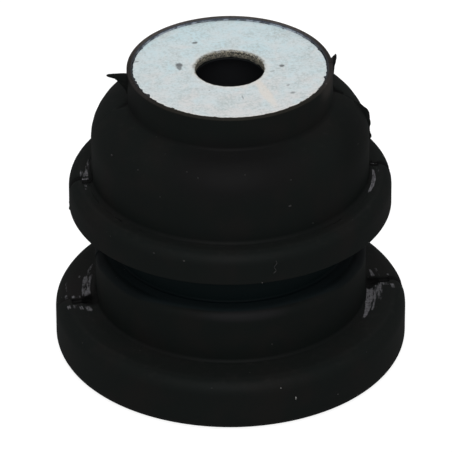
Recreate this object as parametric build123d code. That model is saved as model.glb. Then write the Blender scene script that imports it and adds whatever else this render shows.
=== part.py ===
from build123d import *

import os
from math import radians, tan

# Vibration damper: a turned rubber body with a thin steel disc bonded into its neck. The wide base
# flange stands on the floor, +Z runs up the axis and out through the disc, and the mould halves part
# in the XZ plane. A housing wall sits in the ring groove, and a screw clamps the disc to a handle.
# All sizes are in millimetres and degrees.

# Base flange and the collar above it
BASE_DIAMETER = 35.0
BASE_THICKNESS = 5.6
BASE_TOP_ROUND = 1.5
BASE_FOOT_ROUND = 1.3
COLLAR_DIAMETER = 27.0
COLLAR_HEIGHT = 5.7
COLLAR_SHOULDER_ROUND = 1.0

# Ring groove for the housing wall
GROOVE_DIAMETER = 23.0
GROOVE_WIDTH = 4.8
GROOVE_CORNER_ROUND = 0.3

# Retaining flange above the groove
FLANGE_DIAMETER = 32.0
FLANGE_THICKNESS = 3.3
FLANGE_TOP_ROUND = 1.25
FLANGE_LIP_ROUND = 0.15

# Dome and neck
DOME_DIAMETER = 27.5
DOME_HEIGHT = 8.6
DOME_SLOPE = 28.0
DOME_SHOULDER_ROUND = 4.4
NECK_WALL = 0.65
NECK_HEIGHT = 3.4
NECK_RIM_ROUND = 0.15
ROOT_ROUND = 0.45

# The part of a wall that the roundings at its two ends may take up
ROUNDED_SHARE = 0.95

# Steel disc, set a little below the rubber rim
PLATE_DIAMETER = 19.0
PLATE_THICKNESS = 0.8
PLATE_RECESS = 0.2
PLATE_PUNCH_ROUND = 0.12
SCREW_HOLE_DIAMETER = 6.8

# Hollow under the disc, for the screw's head and washer, tapered so that it leaves the mould core
WELL_TOP_DIAMETER = 13.0
WELL_DRAFT = 2.0
WELL_MOUTH_ROUND = 0.8

# Flash at the mould's parting line: thin fins of rubber. Each outer edge is a chain of points, given
# as (reach past the wall, drop below the rim or the neck's foot)
FLASH_THICKNESS = 0.3
TONGUE_EDGE = [(0, 0.1), (2.05, 0.2), (1.95, 0.45), (1.5, 0.6), (1.05, 0.95), (0, 2.2)]
SPIKE_EDGE = [(0, 0.15), (0.2, -0.7), (0.27, -0.15), (0.15, 0.7), (0, 1.2)]
WEB_EDGE = [
    (-1.4, 1.3), (-0.65, 1.65), (-0.15, 2.15), (0.05, 2.65), (0.2, 3.9),
    (0.1, 4.7), (0.3, 5.25), (0.2, 5.55), (0, 5.7),
]

# Radii and levels worked out from the sizes above
base_r = BASE_DIAMETER / 2
collar_r = COLLAR_DIAMETER / 2
groove_r = GROOVE_DIAMETER / 2
flange_r = FLANGE_DIAMETER / 2
dome_r = DOME_DIAMETER / 2
plate_r = PLATE_DIAMETER / 2
neck_r = plate_r + NECK_WALL
well_top_r = WELL_TOP_DIAMETER / 2

collar_top = BASE_THICKNESS + COLLAR_HEIGHT
flange_bottom = collar_top + GROOVE_WIDTH
flange_top = flange_bottom + FLANGE_THICKNESS
neck_foot = flange_top + DOME_HEIGHT
rim_top = neck_foot + NECK_HEIGHT
plate_top = rim_top - PLATE_RECESS
plate_seat = plate_top - PLATE_THICKNESS
dome_shoulder = neck_foot - (dome_r - neck_r) * tan(radians(DOME_SLOPE))
well_mouth_r = well_top_r + plate_seat * tan(radians(WELL_DRAFT))
flash_root = NECK_WALL / 2


def fitting_rounds(corners: list[tuple[float, float, float]]) -> list[float]:
    """Each corner's rounding, limited by the walls that it runs between."""
    count = len(corners)
    points = [Vector(radius, height) for radius, height, _ in corners]
    walls = [points[(i + 1) % count] - points[i] for i in range(count)]
    setbacks = [
        rounding * tan(radians(walls[i - 1].get_angle(walls[i]) / 2))
        for i, (_, _, rounding) in enumerate(corners)
    ]
    shares = []
    for i, wall in enumerate(walls):
        used = setbacks[i] + setbacks[(i + 1) % count]
        shares.append(min(1, ROUNDED_SHARE * wall.length / used) if used else 1)
    return [rounding * min(shares[i - 1], shares[i]) for i, (_, _, rounding) in enumerate(corners)]


def turned(corners: list[tuple[float, float, float]]) -> Part:
    """Turn a closed section about the Z axis; each corner is (radius, height, rounding)."""
    with BuildPart() as solid:
        with BuildSketch(Plane.XZ):
            with BuildLine():
                FilletPolyline(
                    [(radius, height) for radius, height, _ in corners],
                    radius=fitting_rounds(corners),
                    close=True,
                )
            make_face()
        revolve(axis=Axis.Z)
    return solid.part


def rubber_section() -> list[tuple[float, float, float]]:
    """The moulded body's section, from the hollow's mouth round the outside and back down the hollow."""
    return [
        (well_mouth_r, 0, WELL_MOUTH_ROUND),
        (base_r, 0, BASE_FOOT_ROUND),
        (base_r, BASE_THICKNESS, BASE_TOP_ROUND),
        (collar_r, BASE_THICKNESS, ROOT_ROUND),
        (collar_r, collar_top, COLLAR_SHOULDER_ROUND),
        (groove_r, collar_top, GROOVE_CORNER_ROUND),
        (groove_r, flange_bottom, GROOVE_CORNER_ROUND),
        (flange_r, flange_bottom, FLANGE_LIP_ROUND),
        (flange_r, flange_top, FLANGE_TOP_ROUND),
        (dome_r, flange_top, ROOT_ROUND),
        (dome_r, dome_shoulder, DOME_SHOULDER_ROUND),
        (neck_r, neck_foot, ROOT_ROUND),
        (neck_r, rim_top, NECK_RIM_ROUND),
        (plate_r, rim_top, 0),
        (plate_r, plate_seat, 0),
        (well_top_r, plate_seat, 0),
    ]


def fin(side: int, wall_r: float, top: float, edge: list[tuple[float, float]]) -> Part:
    """A thin fin in the parting plane, rooted in the wall; side is 1 for +X or -1 for -X."""
    root_r = wall_r + edge[0][0] - flash_root
    points = [(wall_r + reach, top - drop) for reach, drop in edge]
    points += [(root_r, points[-1][1]), (root_r, points[0][1])]
    with BuildPart() as solid:
        with BuildSketch(Plane.XZ):
            with BuildLine():
                Polyline([(side * radius, height) for radius, height in points], close=True)
            make_face()
        extrude(amount=FLASH_THICKNESS / 2, both=True)
    return solid.part


def rubber_body() -> Part:
    """The one moulded piece, with the flash that the mould left on it."""
    tongue = fin(-1, neck_r, rim_top, TONGUE_EDGE)
    spike = fin(1, neck_r, rim_top, SPIKE_EDGE)
    web = fin(1, dome_r, neck_foot, WEB_EDGE)
    return turned(rubber_section()) + tongue + spike + web


def top_plate() -> Part:
    """The punched steel disc, rounded where the punch went in."""
    hole_r = SCREW_HOLE_DIAMETER / 2
    return turned([
        (hole_r, plate_seat, 0),
        (plate_r, plate_seat, 0),
        (plate_r, plate_top, PLATE_PUNCH_ROUND),
        (hole_r, plate_top, PLATE_PUNCH_ROUND),
    ])


def main() -> None:
    """Write one STEP file for each piece."""
    os.makedirs("parts", exist_ok=True)
    pieces = {"rubber_body": rubber_body(), "top_plate": top_plate()}
    for name, piece in pieces.items():
        export_step(piece, f"parts/{name}.step")
        print(name, len(piece.solids()), "solid", round(piece.volume, 1), "mm3")


if __name__ == "__main__":
    main()
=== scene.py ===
"""Looks of a round rubber vibration damper: a moulded black rubber body with a zinc plated disc.

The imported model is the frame. Sizes are in millimetres and are turned into metres where a mesh is
made. +Z runs up the damper's axis and out through the disc, and the mould's halves part in the XZ
plane, where the rubber carries thin ridges, creases and fins of flash.
"""

import logging
from collections.abc import Iterable, Sequence
from dataclasses import dataclass, field
from enum import Enum
from functools import cached_property
from math import ceil, cos, pi, radians, sin, tan

import bmesh
import bpy
from mathutils import Matrix, Vector, noise
from mathutils.bvhtree import BVHTree

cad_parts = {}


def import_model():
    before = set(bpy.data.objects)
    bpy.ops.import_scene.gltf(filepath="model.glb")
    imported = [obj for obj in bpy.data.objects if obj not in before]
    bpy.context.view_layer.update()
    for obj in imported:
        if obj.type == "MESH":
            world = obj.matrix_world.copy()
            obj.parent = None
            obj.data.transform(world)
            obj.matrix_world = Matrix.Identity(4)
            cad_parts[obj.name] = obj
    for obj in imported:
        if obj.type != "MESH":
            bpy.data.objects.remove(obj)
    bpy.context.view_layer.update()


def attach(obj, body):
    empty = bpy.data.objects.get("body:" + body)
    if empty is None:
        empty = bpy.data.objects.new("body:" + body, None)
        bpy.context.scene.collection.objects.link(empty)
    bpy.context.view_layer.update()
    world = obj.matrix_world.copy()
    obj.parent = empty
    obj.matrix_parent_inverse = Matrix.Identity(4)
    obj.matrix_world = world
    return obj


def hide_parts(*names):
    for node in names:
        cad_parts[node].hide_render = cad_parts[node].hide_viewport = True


MM = 0.001
BODY = "root"

# Points closer than WELD, in metres, become one, and a corner that turns less than STRAIGHT, in
# radians, isn't rounded
WELD = 1e-6
STRAIGHT = 1e-4
log = logging.getLogger("damper")

# What a node's input takes, and three numbers that are a place, a size or a colour
Value = object
Point = tuple[float, float, float]
Socket = bpy.types.NodeSocket
GeometryTree = bpy.types.GeometryNodeTree
Material = bpy.types.Material
Mesh = bpy.types.Mesh
Piece = bpy.types.Object


class Nodes:
    """A node tree being built, with short calls for its usual steps."""

    def __init__(self, tree: bpy.types.NodeTree) -> None:
        """Keep the tree that the calls add to."""
        self.tree = tree

    def feed(self, socket: Socket, value: Value) -> None:
        """Link an output into a socket, or set the socket's own value.

        Args:
            socket: the input to fill.
            value: another node's output, or a plain value.
        """
        if isinstance(value, Socket):
            self.tree.links.new(value, socket)
        else:
            socket.default_value = value

    def add(self, kind: str, inputs: dict | None = None, **settings: Value) -> bpy.types.Node:
        """Add one node.

        Args:
            kind: the node's type name.
            inputs: values or outputs for its sockets, by name or place.
            **settings: the node's own settings.

        Returns:
            The new node.
        """
        node = self.tree.nodes.new(kind)
        for name, value in settings.items():
            setattr(node, name, value)
        for name, value in (inputs or {}).items():
            self.feed(node.inputs[name], value)
        return node

    def math(self, operation: str, *values: Value, clamp: bool = False) -> Socket:
        """Add a Math node.

        Args:
            operation: the sum to do, as Blender names it.
            *values: its inputs in order.
            clamp: whether the result is held between 0 and 1.

        Returns:
            The node's output.
        """
        inputs = dict(enumerate(values))
        return self.add("ShaderNodeMath", inputs, operation=operation, use_clamp=clamp).outputs[0]

    def vector(self, operation: str, *values: Value, scale: Value = None) -> Socket:
        """Add a Vector Math node.

        Args:
            operation: the sum to do, as Blender names it.
            *values: its vector inputs in order.
            scale: the factor of a SCALE node.

        Returns:
            The vector output, or the value output of LENGTH and DOT_PRODUCT.
        """
        inputs = dict(enumerate(values))
        if scale is not None:
            inputs["Scale"] = scale
        node = self.add("ShaderNodeVectorMath", inputs, operation=operation)
        return node.outputs["Value" if operation in ("LENGTH", "DOT_PRODUCT") else "Vector"]

    def times(self, first: Value, second: Value, clamp: bool = False) -> Socket:
        """The product of two values."""
        return self.math("MULTIPLY", first, second, clamp=clamp)

    def plus(self, first: Value, second: Value) -> Socket:
        """The sum of two values."""
        return self.math("ADD", first, second)

    def minus(self, first: Value, second: Value, clamp: bool = False) -> Socket:
        """What the second value leaves of the first."""
        return self.math("SUBTRACT", first, second, clamp=clamp)

    def reach(self, first: Value, second: Value) -> Socket:
        """The length of a line from its two sides."""
        return self.math("SQRT", self.math("MULTIPLY_ADD", first, first, self.times(second, second)))

    def split(self, place: Value) -> Sequence[Socket]:
        """The three parts of a vector."""
        return self.add("ShaderNodeSeparateXYZ", {0: place}).outputs

    def join(self, x: Value, y: Value, z: Value = 0.0) -> Socket:
        """A vector from its three parts."""
        return self.add("ShaderNodeCombineXYZ", {0: x, 1: y, 2: z}).outputs[0]

    def largest(self, first: Value, second: Value) -> Socket:
        """The larger of two values."""
        return self.math("MAXIMUM", first, second)

    def scatter(self, place: Value, scale: float, edge: float, core: float) -> Socket:
        """Round spots round scattered points, 0 past their edge and 1 inside their core."""
        cells = self.add("ShaderNodeTexVoronoi", {"Vector": place, "Scale": scale}, feature="F1")
        return self.remap(cells.outputs["Distance"], edge, core)

    def remap(self, value: Value, low: float, high: float, to_low: float = 0.0,
              to_high: float = 1.0, smooth: bool = True) -> Socket:
        """Spread a value from one range over another.

        Args:
            value: the value to spread.
            low: what becomes to_low.
            high: what becomes to_high.
            to_low: the new start.
            to_high: the new end.
            smooth: whether the change eases in and out.

        Returns:
            The spread value, held inside the new range.
        """
        inputs = {"Value": value, "From Min": low, "From Max": high,
                  "To Min": to_low, "To Max": to_high}
        kind = "SMOOTHSTEP" if smooth else "LINEAR"
        return self.add("ShaderNodeMapRange", inputs, interpolation_type=kind).outputs["Result"]

    def grain(self, place: Value, scale: float, detail: float = 2.0, roughness: float = 0.5,
              distortion: float = 0.0) -> Socket:
        """Noise between 0 and 1.

        Args:
            place: where the noise is read.
            scale: its fineness.
            detail: how many finer layers it has.
            roughness: how strong the finer layers are.
            distortion: how far it is bent.

        Returns:
            The noise value.
        """
        inputs = {"Vector": place, "Scale": scale, "Detail": detail, "Roughness": roughness,
                  "Distortion": distortion}
        return self.add("ShaderNodeTexNoise", inputs).outputs[0]

    def blend(self, share: Value, first: Value, second: Value) -> Socket:
        """Blend two colours, each an output or its three numbers.

        Args:
            share: how much of the second colour.
            first: the first colour.
            second: the second colour.

        Returns:
            The blended colour.
        """
        node = self.add("ShaderNodeMix", data_type="RGBA")
        self.feed(node.inputs[0], share)
        for socket, colour in ((node.inputs[6], first), (node.inputs[7], second)):
            self.feed(socket, colour if isinstance(colour, Socket) else (*colour, 1))
        return node.outputs[2]


class Skin(Nodes):
    """A material's nodes, with where a point of the surface lies on the damper."""

    @cached_property
    def place(self) -> Socket:
        """The point on the surface, in millimetres."""
        own = self.add("ShaderNodeTexCoord").outputs["Object"]
        return self.vector("SCALE", own, scale=1 / MM)

    @cached_property
    def parts(self) -> Sequence[Socket]:
        """The point's x, y and z."""
        return self.split(self.place)

    @cached_property
    def radius(self) -> Socket:
        """The point's distance from the axis."""
        return self.reach(self.parts[0], self.parts[1])

    def bump(self, height: Value, strength: float, depth: float) -> Socket:
        """A bumpy surface's normal.

        Args:
            height: how high each point stands, from 0 to 1.
            strength: how much of the bumps shows.
            depth: their depth in millimetres.

        Returns:
            The normal.
        """
        inputs = {"Strength": strength, "Distance": depth * MM, "Height": height}
        return self.add("ShaderNodeBump", inputs).outputs[0]


def new_material(name: str) -> tuple[Material, Skin, bpy.types.Node]:
    """Start a material with an empty Principled shader.

    Args:
        name: the material's name.

    Returns:
        The material, its nodes and its shader.
    """
    material = bpy.data.materials.new(name)
    material.use_nodes = True
    material.node_tree.nodes.clear()
    nodes = Skin(material.node_tree)
    shader = nodes.add("ShaderNodeBsdfPrincipled")
    nodes.add("ShaderNodeOutputMaterial", {"Surface": shader.outputs[0]})
    return material, nodes, shader


@dataclass(frozen=True)
class LedgePatch:
    """A patch on a ledge beside a parting crease, that carries a painted glint or painted shade.

    level is the ledge's height. The patch runs round the axis from start to end, in degrees. near
    and far are its inner radius and its width at those two ends, and bulge is the extra width half
    way, all in millimetres.
    """

    level: float
    start: float
    end: float
    near: tuple[float, float]
    far: tuple[float, float]
    strength: float = 1.0
    bulge: float = 0.0


# The heights of the ledges that the patches lie on
LOWER_LEDGE = 5.6
UPPER_LEDGE = 19.4
NECK_FOOT = 27.85


@dataclass(frozen=True)
class Tint:
    """A soft spot of another shade: its middle and half sizes in millimetres, and its strength."""

    middle: Point
    size: Point
    shade: Point
    strength: float


@dataclass(frozen=True)
class RubberFinish:
    """Satin black moulded rubber, with painted glints on polished patches beside the parting creases,
    painted shade in the creases, the walls' feet and the groove, and a pale worn rim painted lighter
    at its sides and back.

    After the colours and shares come the places, in millimetres: groove is the outer radius of the
    groove's ledge, its foot and its head, and groove_floor is the radius of its floor; the groove's
    colours are painted shade, with painted light on its ledge. From groove_front to groove_flank,
    along Y, its painted shade reaches further out, and at the two sides further down by
    far_end_drop. Each of roots, and foot in the groove, is a rounded foot's radius, height and
    width, where shade is painted. well is the hollow's radius and top, where light is painted, and
    rim is the rim's inner radius, outer radius and foot. streaks is how fine the two layers of lines
    in the painted glints are across, along and from side to side.
    """

    black: Point = (0.0052, 0.0065, 0.0061)
    brown_black: Point = (0.0078, 0.0074, 0.0070)
    # Painted shade: near black, put in the parting creases, at the walls' feet and in the shade patches
    painted_shade_black: Point = (0.0012, 0.0013, 0.0013)
    # Painted shade in the ring groove, darker at its ends, its sides and its floor's foot, and painted
    # light that lifts its shaded ledge
    groove_painted_shade: Point = (0.0026, 0.0054, 0.0060)
    groove_ledge_painted_light: Point = (0.0076, 0.0112, 0.0124)
    groove_end_painted_shade: Point = (0.0024, 0.0040, 0.0045)
    groove_far_end_painted_shade: Point = (0.0003, 0.0012, 0.0016)
    groove_foot_painted_shade: Point = (0.0002, 0.0019, 0.0026)
    # Painted highlight: the pale colour of the glints on the polished patches beside the creases
    polished_glint: Point = (0.125, 0.123, 0.132)
    # Pale grey, for upward-facing faces and dust motes
    pale_grey: Point = (0.022, 0.022, 0.021)
    # The rim and its lip: paler rubber, painted as lit and shaded copies for the front, sides and back
    rim_front: Point = (0.0195, 0.0178, 0.0148)
    rim_side: Point = (0.0300, 0.0268, 0.0258)
    rim_back: Point = (0.088, 0.077, 0.072)
    lip_front: Point = (0.066, 0.060, 0.049)
    lip_side: Point = (0.0480, 0.0520, 0.0610)
    lip_back: Point = (0.056, 0.066, 0.086)
    # Painted highlight: the disc's edge catching light at the back of the lip
    lip_back_glint: Point = (0.27, 0.30, 0.345)
    # Painted light: the hollow's rubber is lifted to a grey
    well_painted_light: Point = (0.018, 0.019, 0.021)
    roughness: float = 0.8
    roughness_spread: float = 0.12
    glint_polish: float = 0.2
    crease_dulling: float = 0.3
    sheen_weight: float = 0.075
    sheen_roughness: float = 0.53
    bump_strength: float = 0.35
    bump_depth: float = 0.05
    brown_share: float = 0.7
    upturned_share: float = 0.22
    level_share: float = 0.13
    mote_share: float = 0.5
    root_share: float = 0.4
    streak_sway: float = 0.45
    patch_weight: float = 0.26
    groove: Point = (12.95, 11.3, 16.1)
    groove_floor: float = 11.5
    groove_front: float = -12.6
    groove_flank: float = -7.5
    far_end_drop: float = 0.35
    roots: tuple[Point, ...] = ((10.15, 28.0, 0.38), (13.75, 19.4, 0.55), (13.5, 5.6, 0.55))
    foot: Point = (11.59, 11.39, 0.17)
    well: tuple[float, float] = (7.9, 30.45)
    rim: Point = (9.35, 10.2, 31.19)
    streaks: tuple[Point, ...] = ((3.4, 7.0, 7.0), (8.0, 16.0, 3.0))
    patches: tuple[LedgePatch, ...] = (
        *(LedgePatch(LOWER_LEDGE, *row) for row in (
            (-1.2, -20.0, (13.56, 0.7), (13.68, 0.8), 1.15),
            (-16.5, -31.0, (13.66, 0.75), (14.3, 0.18), 1.0),
            (-1.2, -16.5, (14.2, 1.2), (14.35, 0.9), 0.7),
            (-12.0, -23.2, (14.42, 0.25), (14.54, 0.2), 0.85),
            (-1.0, -4.0, (14.8, 1.1), (14.9, 1.1), 0.62),
            (-2.4, -5.4, (15.95, 0.5), (16.2, 0.3), 0.72),
            (3.7, 9.9, (14.33, 0.42), (14.42, 0.12), 1.1),
            (2.8, 10.8, (15.02, 0.34), (14.98, 0.24), 0.62),
            (2.1, 4.9, (15.9, 0.36), (15.9, 0.36), 0.62),
            (179.0, 159.5, (13.98, 1.0), (14.12, 0.95), 0.72),
            (163.0, 151.5, (14.45, 0.45), (14.6, 0.25), 0.56),
            (179.2, 177.5, (15.0, 1.15), (15.05, 1.0), 0.6),
            (179.2, 176.6, (16.27, 0.34), (16.27, 0.34), 0.85),
            (175.0, 166.0, (16.33, 0.2), (16.5, 0.2), 0.48),
            (165.2, 163.4, (15.3, 0.18), (15.3, 0.18), 0.85),
            (185.8, 190.2, (14.32, 0.62), (14.2, 0.6), 0.95),
            (185.0, 188.3, (15.08, 0.42), (15.03, 0.4), 0.74),
            (184.0, 186.9, (15.53, 0.52), (15.53, 0.52), 0.6),
            (183.8, 186.1, (16.24, 0.36), (16.24, 0.36), 1.0),
        )),
        *(LedgePatch(UPPER_LEDGE, *row) for row in (
            (-4.6, -25.0, (14.05, 0.16), (14.12, 0.12), 1.0, 0.28),
            (-3.9, -6.7, (14.45, 0.32), (14.45, 0.32), 0.5),
            (1.0, -1.4, (13.98, 0.42), (13.98, 0.42), 0.95),
            (0.9, -1.3, (14.3, 1.4), (14.3, 1.4), 0.62),
            (179.9, 178.0, (14.03, 0.86), (14.03, 0.86), 0.85),
            (178.2, 161.5, (14.06, 0.52), (14.02, 0.3), 0.6),
            (177.6, 170.5, (14.4, 0.6), (14.35, 0.5), 0.52),
            (183.8, 185.5, (14.39, 0.26), (14.39, 0.26), 0.8),
            (186.3, 187.7, (14.49, 0.24), (14.49, 0.24), 0.7),
        )),
    )
    # Patches of painted shade at the walls' feet beside the creases, and behind the seam at the neck's
    # foot
    shade_patches: tuple[LedgePatch, ...] = (
        LedgePatch(UPPER_LEDGE, 180.5, 160.0, (13.6, 0.42), (13.6, 0.25), 0.8),
        LedgePatch(UPPER_LEDGE, 0.0, -22.0, (13.6, 0.38), (13.6, 0.4), 0.7),
        LedgePatch(LOWER_LEDGE, 184.0, 150.0, (13.3, 0.5), (13.3, 0.4), 0.75),
        LedgePatch(NECK_FOOT, 1.0, 19.0, (9.9, 0.8), (9.9, 0.5), 0.9),
    )
    tints: tuple[Tint, ...] = (
        # Painted highlight tone: a neutral, darker colour where the key's highlight lies on the dome's
        # front
        Tint((-1.0, -12.0, 26.6), (10.0, 7.0, 3.8), (0.0043, 0.0041, 0.0043), 0.85),
        # Painted highlight on the collar's front shoulder
        Tint((0.0, -13.3, 10.9), (6.5, 1.4, 0.9), (0.0118, 0.0116, 0.0126), 0.7),
        # Painted shade on the dome's right
        Tint((11.9, -5.0, 24.6), (4.4, 7.4, 5.2), (0.0026, 0.0032, 0.0030), 0.68),
        # Painted light: a lighter band on the neck's right below the rim
        Tint((9.3, -4.1, 31.2), (1.7, 3.3, 1.9), (0.0300, 0.0275, 0.0255), 0.85),
        # Painted shade on the neck's left beside the fin
        Tint((-9.9, -2.2, 29.2), (1.3, 3.2, 1.9), (0.0022, 0.0026, 0.0026), 0.6),
        # A lighter brownish spot on the base's top at the left
        Tint((-15.0, 2.0, 5.6), (2.2, 4.5, 1.4), (0.0110, 0.0096, 0.0100), 0.6),
    )

    def patch(self, nodes: Nodes, patch: LedgePatch, right: Value, left: Value,
              radius: Value) -> Socket:
        """One patch, before it breaks into streaks.

        Args:
            nodes: the material's nodes.
            patch: the patch.
            right: the point's turn about the axis from +X, in degrees.
            left: the point's turn about the axis from -X, in degrees, the other way round.
            radius: the point's distance from the axis, in millimetres.

        Returns:
            Its strength, from 0 to its own strength.
        """
        angle, start, end = right, patch.start, patch.end
        if 90 < (patch.start + patch.end) / 2 < 270:
            angle, start, end = left, 180 - patch.start, 180 - patch.end
        way = nodes.math("MULTIPLY_ADD", angle, 1 / (end - start), -start / (end - start))
        inside = nodes.times(nodes.remap(way, 0.0, 0.06), nodes.remap(way, 1.0, 0.72))
        foot = nodes.math("MULTIPLY_ADD", way, patch.far[0] - patch.near[0], patch.near[0])
        width = nodes.math("MULTIPLY_ADD", way, patch.far[1] - patch.near[1], patch.near[1])
        if patch.bulge:
            arch = nodes.times(way, nodes.minus(1.0, way))
            width = nodes.math("MULTIPLY_ADD", arch, 4 * patch.bulge, width)
        share = nodes.math("DIVIDE", nodes.minus(radius, foot), width)
        band = nodes.times(nodes.remap(share, -0.06, 0.1), nodes.remap(share, 1.06, 0.8))
        return nodes.times(nodes.times(band, inside), patch.strength)

    def spread(self, nodes: Nodes, patches: tuple[LedgePatch, ...], place: Value) -> Socket:
        """The strongest of several patches at each point.

        Args:
            nodes: the material's nodes.
            patches: the patches.
            place: the point on the surface, in millimetres.

        Returns:
            The strength, from 0 to 1.
        """
        x, y, z = nodes.split(place)
        radius = nodes.reach(x, y)
        right = nodes.times(nodes.math("ARCTAN2", y, x), 180 / pi)
        left = nodes.times(nodes.math("ARCTAN2", y, nodes.times(x, -1.0)), 180 / pi)
        total: Value = 0.0
        for level in sorted({patch.level for patch in patches}):
            strongest: Value = 0.0
            for patch in patches:
                if patch.level == level:
                    here = self.patch(nodes, patch, right, left, radius)
                    strongest = nodes.largest(strongest, here)
            off = nodes.math("ABSOLUTE", nodes.minus(z, level))
            total = nodes.largest(total, nodes.times(strongest, nodes.remap(off, 0.5, 0.3)))
        return total

    def polished_glints(self, nodes: Skin) -> Socket:
        """Painted glints: streaks that follow the walls' feet on polished patches, on one side of each
        parting crease.

        Args:
            nodes: the material's nodes.

        Returns:
            The streaks' strength, from 0 to 1.
        """
        shift = nodes.minus(nodes.grain(nodes.place, 1.6, 3.0), 0.5)
        shift = nodes.times(shift, self.streak_sway)
        swayed = nodes.vector("ADD", nodes.place, nodes.join(0.0, shift))
        strength = self.spread(nodes, self.patches, swayed)
        x, y, _ = nodes.parts
        turn = nodes.math("DIVIDE", y, nodes.radius)
        side = nodes.math("SIGN", x)
        streaks = [
            nodes.times(nodes.grain(nodes.join(
                nodes.times(nodes.radius, across), nodes.times(turn, along), nodes.times(side, apart),
            ), 1.0, 3.0, 0.6), 0.5)
            for across, along, apart in self.streaks
        ]
        # How strongly each point carries the lines of the painted glint
        worn = nodes.plus(nodes.plus(*streaks), nodes.times(strength, self.patch_weight))
        mask = nodes.times(nodes.remap(worn, 0.62, 0.74), nodes.remap(strength, 0.0, 0.35), clamp=True)
        return nodes.times(mask, nodes.remap(nodes.grain(nodes.place, 3.0, 3.0), 0.3, 0.62, 0.4, 1.0))

    def zone(self, nodes: Skin) -> tuple[Socket, ...]:
        """How far a point lies in the ring groove, in the hollow or on the rim.

        Args:
            nodes: the material's nodes.

        Returns:
            The shares of the groove, its ledge, its ends, the hollow, the rim, its lip and the painted
            highlight at the back of its lip.
        """
        _, y, z = nodes.parts
        radius = nodes.radius
        edge, low, high = self.groove
        floor, front, flank = self.groove_floor, self.groove_front, self.groove_flank
        reach = nodes.minus(radius, nodes.remap(y, front, flank, edge, edge + 0.6))
        foot = nodes.minus(z, nodes.remap(y, front, flank, low - 0.25, low - 0.7))
        foot = nodes.math("MULTIPLY_ADD", self.far_end(nodes), self.far_end_drop, foot)
        level = nodes.times(nodes.remap(foot, -0.1, 0.15), nodes.remap(z, high + 0.2, high - 0.1))
        groove = nodes.times(nodes.remap(reach, 0.08, -0.08), level)
        ledge = nodes.times(nodes.remap(radius, floor + 0.12, floor + 0.3),
                            nodes.remap(z, low + 0.5, low + 0.2))
        ends = nodes.times(nodes.remap(y, -12.0, -8.0), nodes.remap(radius, floor + 0.9, floor + 1.25))
        mouth, seat = self.well
        well = nodes.times(nodes.remap(radius, mouth, mouth - 0.2),
                           nodes.remap(z, seat + 0.05, seat - 0.1))
        inner, outer, top = self.rim
        ring = nodes.times(nodes.remap(radius, inner - 0.35, inner - 0.3),
                           nodes.remap(radius, outer + 0.05, outer - 0.05))
        rim = nodes.times(ring, nodes.remap(z, top, top + 0.08))
        edge = nodes.remap(y, -3.5, -7.5, inner, inner + 0.12)
        lip = nodes.remap(nodes.minus(radius, edge), 0.45, 0.3)
        # Where the highlight is painted: low on the lip, at the back only
        torn = nodes.times(nodes.remap(z, top + 0.12, top + 0.05), nodes.remap(y, 2.0, 6.0))
        torn = nodes.times(torn, nodes.times(ring, nodes.remap(radius, inner + 0.5, inner + 0.4)))
        return groove, ledge, ends, well, rim, lip, torn

    def far_end(self, nodes: Skin) -> Socket:
        """How near a point lies to the damper's two sides, from 0 to 1."""
        x, y, _ = nodes.parts
        near = nodes.remap(nodes.math("MULTIPLY_ADD", x, 0.1, y), -5.0, -3.2)
        return nodes.times(near, nodes.remap(y, 5.0, 2.5))

    def rooted(self, nodes: Skin, roots: tuple[Point, ...]) -> Socket:
        """How deep a point lies in the rounded foot of one of the walls.

        Args:
            nodes: the material's nodes.
            roots: each foot's radius, height and width.

        Returns:
            The depth, from 0 to 1.
        """
        deepest: Value = 0.0
        for wall, level, width in roots:
            off = nodes.reach(nodes.minus(nodes.radius, wall), nodes.minus(nodes.parts[2], level))
            deepest = nodes.largest(deepest, nodes.remap(off, width, 0.35 * width))
        return deepest

    def material(self) -> Material:
        """Build the material.

        Returns:
            The rubber material.
        """
        material, nodes, shader = new_material("moulded_rubber")
        place = nodes.place
        mottle = nodes.grain(place, 0.22, 4.0, 0.55)
        patchy = nodes.grain(place, 1.3, 4.0, 0.6)
        pepper = nodes.grain(place, 9.0, 3.0, 0.6)
        facing = nodes.split(nodes.add("ShaderNodeNewGeometry").outputs["Normal"])[2]
        upward = nodes.remap(facing, 0.2, 0.95)
        crease = nodes.add("ShaderNodeAttribute", attribute_name="crease").outputs["Fac"]
        open_rubber = nodes.minus(1.0, crease, clamp=True)
        glinting = nodes.times(self.polished_glints(nodes), nodes.remap(crease, 0.5, 0.1))
        # Painted shade in patches at the walls' feet
        shaded_patches = self.spread(nodes, self.shade_patches, place)
        shaded_patches = nodes.times(shaded_patches, nodes.remap(patchy, 0.2, 0.6, 0.7, 1.0))
        groove, ledge, ends, well, rim, lip, torn = self.zone(nodes)

        brown = nodes.times(nodes.remap(mottle, 0.42, 0.68), self.brown_share)
        colour = nodes.blend(brown, self.black, self.brown_black)
        # Lighter on upward-facing faces, most on level ones
        upturned = nodes.times(nodes.remap(patchy, 0.52, 0.8), upward)
        upturned = nodes.times(upturned, self.upturned_share)
        level = nodes.remap(facing, 0.9, 0.99)
        upturned = nodes.math("MULTIPLY_ADD", level, self.level_share, upturned)
        colour = nodes.blend(upturned, colour, self.pale_grey)
        motes = nodes.times(nodes.scatter(place, 1.1, 0.085, 0.03),
                            nodes.remap(nodes.grain(place, 0.6, 2.0), 0.5, 0.66))
        colour = nodes.blend(nodes.times(motes, self.mote_share), colour, self.pale_grey)
        # Painted shade: the rounded feet of the walls darken towards near black
        rooted = nodes.times(self.rooted(nodes, self.roots), self.root_share)
        colour = nodes.blend(rooted, colour, self.painted_shade_black)
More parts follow.
